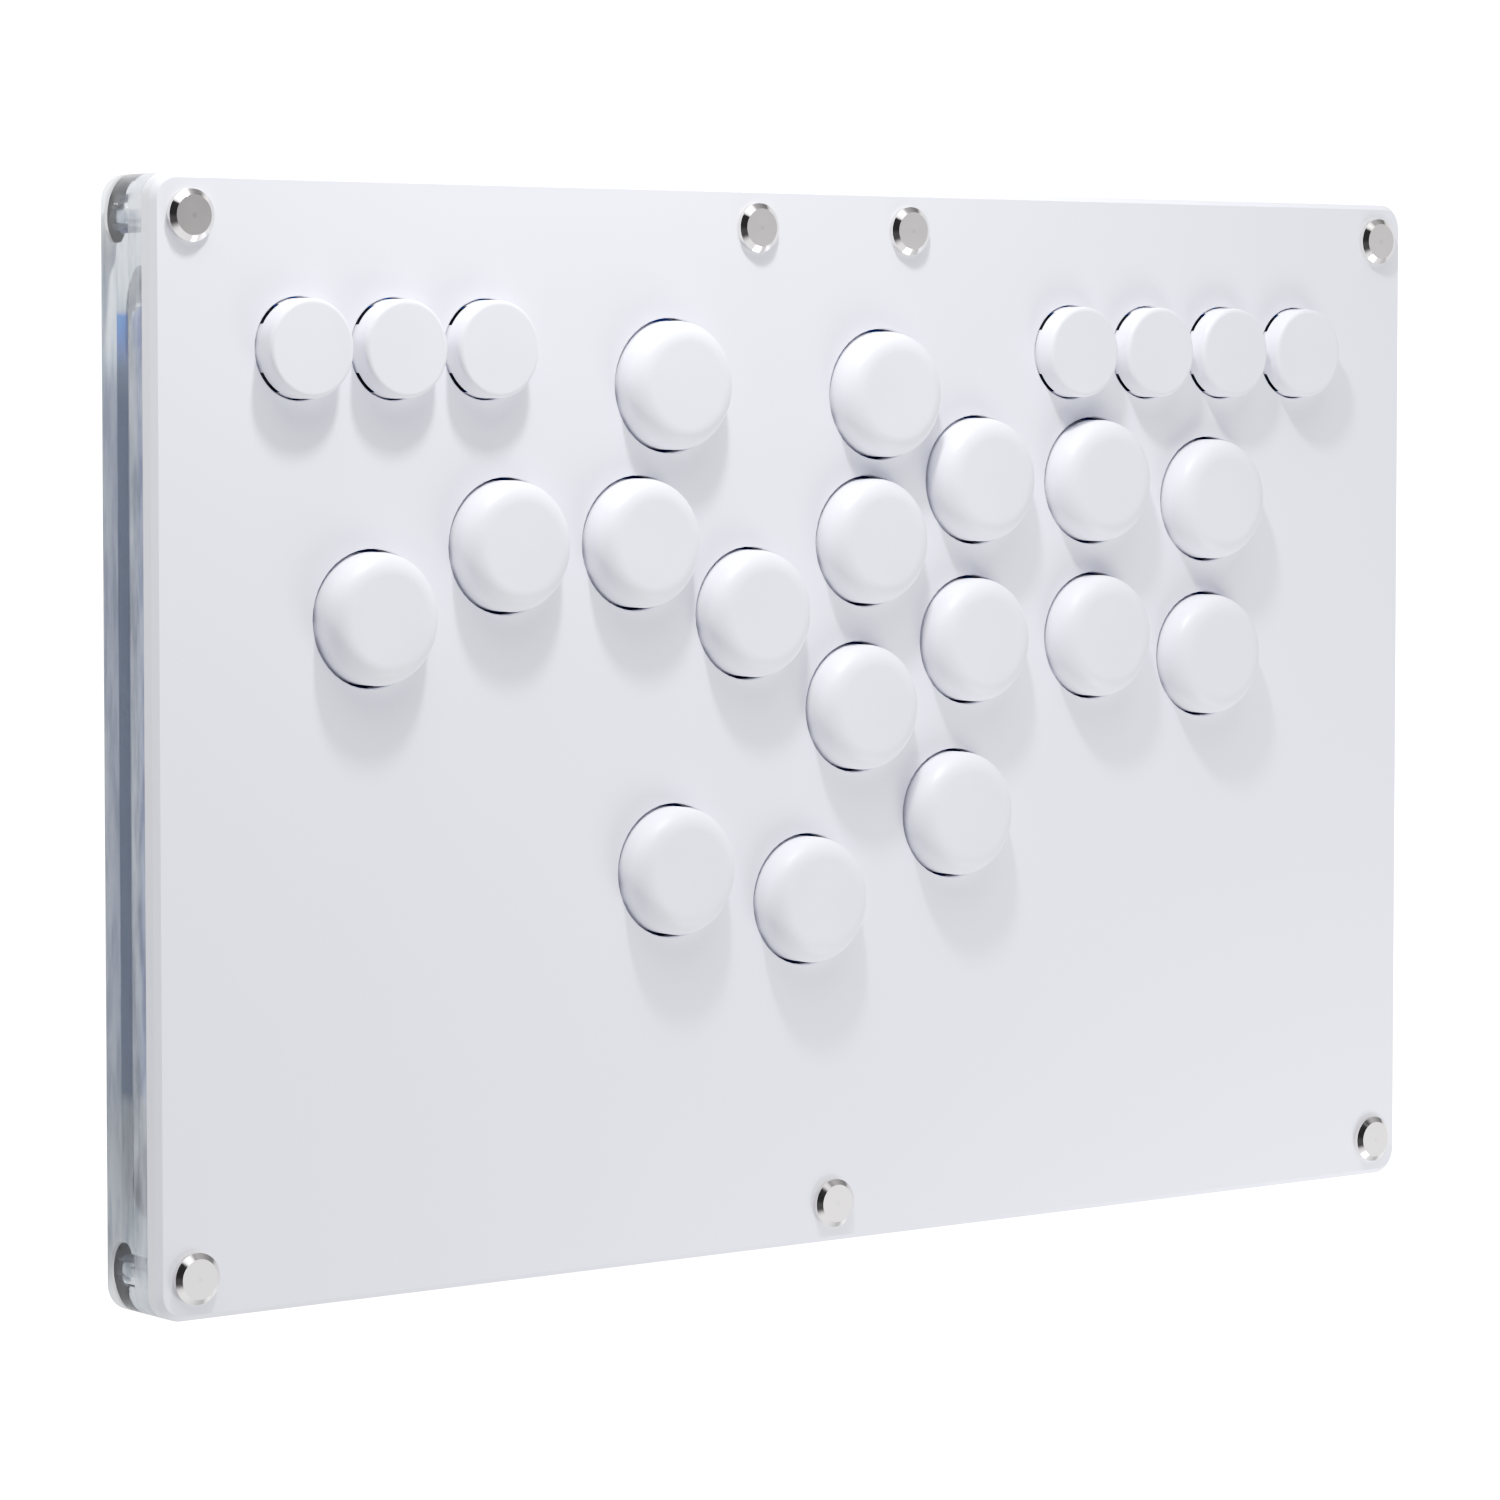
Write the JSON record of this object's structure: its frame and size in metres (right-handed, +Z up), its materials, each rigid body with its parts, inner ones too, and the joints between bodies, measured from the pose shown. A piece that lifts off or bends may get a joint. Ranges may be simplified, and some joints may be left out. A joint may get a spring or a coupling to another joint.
{
  "type": "all-button arcade controller",
  "caption": "Flat tabletop arcade controller with round sprung push buttons in a white panel over a clear acrylic sandwich body.",
  "frame": {"origin": "on the table, under the middle of the panel, level with the undersides of the rubber feet", "axes": "+X to the player's right along the panel, +Y away from the player towards the socket, +Z up through the buttons"},
  "size_m": [0.3, 0.2, 0.026],
  "materials": {
    "white_panel": "satin",
    "button_white": "satin",
    "clear_acrylic": "polished",
    "polished_nickel": "polished",
    "blue_board": "satin",
    "chip_plastic": "matte",
    "socket_steel": "satin",
    "switch_plastic": "matte",
    "stem_plastic": "satin",
    "contact_metal": "satin",
    "spring_steel": "bright",
    "foot_rubber": "matte"
  },
  "bodies": {
    "controller": {"top_panel": "white_panel", "upper_frame": "clear_acrylic", "lower_frame": "clear_acrylic", "bottom_plate": "clear_acrylic", "rubber_feet": "foot_rubber", "binding_posts": "polished_nickel", "circuit_board": "blue_board", "board_chips": "chip_plastic", "usb_socket": "socket_steel", "switch_housings": "switch_plastic", "switch_contacts": "contact_metal", "switch_springs": "spring_steel"},
    "large_button_01": {"large_cap_01": "button_white", "large_stem_01": "stem_plastic"},
    "large_button_02": {"large_cap_02": "button_white", "large_stem_02": "stem_plastic"},
    "large_button_03": {"large_cap_03": "button_white", "large_stem_03": "stem_plastic"},
    "large_button_04": {"large_cap_04": "button_white", "large_stem_04": "stem_plastic"},
    "large_button_05": {"large_cap_05": "button_white", "large_stem_05": "stem_plastic"},
    "large_button_06": {"large_cap_06": "button_white", "large_stem_06": "stem_plastic"},
    "large_button_07": {"large_cap_07": "button_white", "large_stem_07": "stem_plastic"},
    "large_button_08": {"large_cap_08": "button_white", "large_stem_08": "stem_plastic"},
    "large_button_09": {"large_cap_09": "button_white", "large_stem_09": "stem_plastic"},
    "large_button_10": {"large_cap_10": "button_white", "large_stem_10": "stem_plastic"},
    "large_button_11": {"large_cap_11": "button_white", "large_stem_11": "stem_plastic"},
    "large_button_12": {"large_cap_12": "button_white", "large_stem_12": "stem_plastic"},
    "large_button_13": {"large_cap_13": "button_white", "large_stem_13": "stem_plastic"},
    "large_button_14": {"large_cap_14": "button_white", "large_stem_14": "stem_plastic"},
    "large_button_15": {"large_cap_15": "button_white", "large_stem_15": "stem_plastic"},
    "large_button_16": {"large_cap_16": "button_white", "large_stem_16": "stem_plastic"},
    "large_button_17": {"large_cap_17": "button_white", "large_stem_17": "stem_plastic"},
    "small_button_01": {"small_cap_01": "button_white", "small_stem_01": "stem_plastic"},
    "small_button_02": {"small_cap_02": "button_white", "small_stem_02": "stem_plastic"},
    "small_button_03": {"small_cap_03": "button_white", "small_stem_03": "stem_plastic"},
    "small_button_04": {"small_cap_04": "button_white", "small_stem_04": "stem_plastic"},
    "small_button_05": {"small_cap_05": "button_white", "small_stem_05": "stem_plastic"},
    "small_button_06": {"small_cap_06": "button_white", "small_stem_06": "stem_plastic"},
    "small_button_07": {"small_cap_07": "button_white", "small_stem_07": "stem_plastic"}
  },
  "joints": [
    {"name": "large_button_01_press", "type": "slide", "parent": "controller", "child": "large_button_01", "axis": [0, 0, -1], "range_m": [0, 0.003], "stiffness_N_per_m": 125, "springref_m": -0.002, "deforming": ["switch_springs"]},
    {"name": "large_button_02_press", "type": "slide", "parent": "controller", "child": "large_button_02", "axis": [0, 0, -1], "range_m": [0, 0.003], "stiffness_N_per_m": 125, "springref_m": -0.002, "deforming": ["switch_springs"]},
    {"name": "large_button_03_press", "type": "slide", "parent": "controller", "child": "large_button_03", "axis": [0, 0, -1], "range_m": [0, 0.003], "stiffness_N_per_m": 125, "springref_m": -0.002, "deforming": ["switch_springs"]},
    {"name": "large_button_04_press", "type": "slide", "parent": "controller", "child": "large_button_04", "axis": [0, 0, -1], "range_m": [0, 0.003], "stiffness_N_per_m": 125, "springref_m": -0.002, "deforming": ["switch_springs"]},
    {"name": "large_button_05_press", "type": "slide", "parent": "controller", "child": "large_button_05", "axis": [0, 0, -1], "range_m": [0, 0.003], "stiffness_N_per_m": 125, "springref_m": -0.002, "deforming": ["switch_springs"]},
    {"name": "large_button_06_press", "type": "slide", "parent": "controller", "child": "large_button_06", "axis": [0, 0, -1], "range_m": [0, 0.003], "stiffness_N_per_m": 125, "springref_m": -0.002, "deforming": ["switch_springs"]},
    {"name": "large_button_07_press", "type": "slide", "parent": "controller", "child": "large_button_07", "axis": [0, 0, -1], "range_m": [0, 0.003], "stiffness_N_per_m": 125, "springref_m": -0.002, "deforming": ["switch_springs"]},
    {"name": "large_button_08_press", "type": "slide", "parent": "controller", "child": "large_button_08", "axis": [0, 0, -1], "range_m": [0, 0.003], "stiffness_N_per_m": 125, "springref_m": -0.002, "deforming": ["switch_springs"]},
    {"name": "large_button_09_press", "type": "slide", "parent": "controller", "child": "large_button_09", "axis": [0, 0, -1], "range_m": [0, 0.003], "stiffness_N_per_m": 125, "springref_m": -0.002, "deforming": ["switch_springs"]},
    {"name": "large_button_10_press", "type": "slide", "parent": "controller", "child": "large_button_10", "axis": [0, 0, -1], "range_m": [0, 0.003], "stiffness_N_per_m": 125, "springref_m": -0.002, "deforming": ["switch_springs"]},
    {"name": "large_button_11_press", "type": "slide", "parent": "controller", "child": "large_button_11", "axis": [0, 0, -1], "range_m": [0, 0.003], "stiffness_N_per_m": 125, "springref_m": -0.002, "deforming": ["switch_springs"]},
    {"name": "large_button_12_press", "type": "slide", "parent": "controller", "child": "large_button_12", "axis": [0, 0, -1], "range_m": [0, 0.003], "stiffness_N_per_m": 125, "springref_m": -0.002, "deforming": ["switch_springs"]},
    {"name": "large_button_13_press", "type": "slide", "parent": "controller", "child": "large_button_13", "axis": [0, 0, -1], "range_m": [0, 0.003], "stiffness_N_per_m": 125, "springref_m": -0.002, "deforming": ["switch_springs"]},
    {"name": "large_button_14_press", "type": "slide", "parent": "controller", "child": "large_button_14", "axis": [0, 0, -1], "range_m": [0, 0.003], "stiffness_N_per_m": 125, "springref_m": -0.002, "deforming": ["switch_springs"]},
    {"name": "large_button_15_press", "type": "slide", "parent": "controller", "child": "large_button_15", "axis": [0, 0, -1], "range_m": [0, 0.003], "stiffness_N_per_m": 125, "springref_m": -0.002, "deforming": ["switch_springs"]},
    {"name": "large_button_16_press", "type": "slide", "parent": "controller", "child": "large_button_16", "axis": [0, 0, -1], "range_m": [0, 0.003], "stiffness_N_per_m": 125, "springref_m": -0.002, "deforming": ["switch_springs"]},
    {"name": "large_button_17_press", "type": "slide", "parent": "controller", "child": "large_button_17", "axis": [0, 0, -1], "range_m": [0, 0.003], "stiffness_N_per_m": 125, "springref_m": -0.002, "deforming": ["switch_springs"]},
    {"name": "small_button_01_press", "type": "slide", "parent": "controller", "child": "small_button_01", "axis": [0, 0, -1], "range_m": [0, 0.003], "stiffness_N_per_m": 125, "springref_m": -0.002, "deforming": ["switch_springs"]},
    {"name": "small_button_02_press", "type": "slide", "parent": "controller", "child": "small_button_02", "axis": [0, 0, -1], "range_m": [0, 0.003], "stiffness_N_per_m": 125, "springref_m": -0.002, "deforming": ["switch_springs"]},
    {"name": "small_button_03_press", "type": "slide", "parent": "controller", "child": "small_button_03", "axis": [0, 0, -1], "range_m": [0, 0.003], "stiffness_N_per_m": 125, "springref_m": -0.002, "deforming": ["switch_springs"]},
    {"name": "small_button_04_press", "type": "slide", "parent": "controller", "child": "small_button_04", "axis": [0, 0, -1], "range_m": [0, 0.003], "stiffness_N_per_m": 125, "springref_m": -0.002, "deforming": ["switch_springs"]},
    {"name": "small_button_05_press", "type": "slide", "parent": "controller", "child": "small_button_05", "axis": [0, 0, -1], "range_m": [0, 0.003], "stiffness_N_per_m": 125, "springref_m": -0.002, "deforming": ["switch_springs"]},
    {"name": "small_button_06_press", "type": "slide", "parent": "controller", "child": "small_button_06", "axis": [0, 0, -1], "range_m": [0, 0.003], "stiffness_N_per_m": 125, "springref_m": -0.002, "deforming": ["switch_springs"]},
    {"name": "small_button_07_press", "type": "slide", "parent": "controller", "child": "small_button_07", "axis": [0, 0, -1], "range_m": [0, 0.003], "stiffness_N_per_m": 125, "springref_m": -0.002, "deforming": ["switch_springs"]}
  ]
}
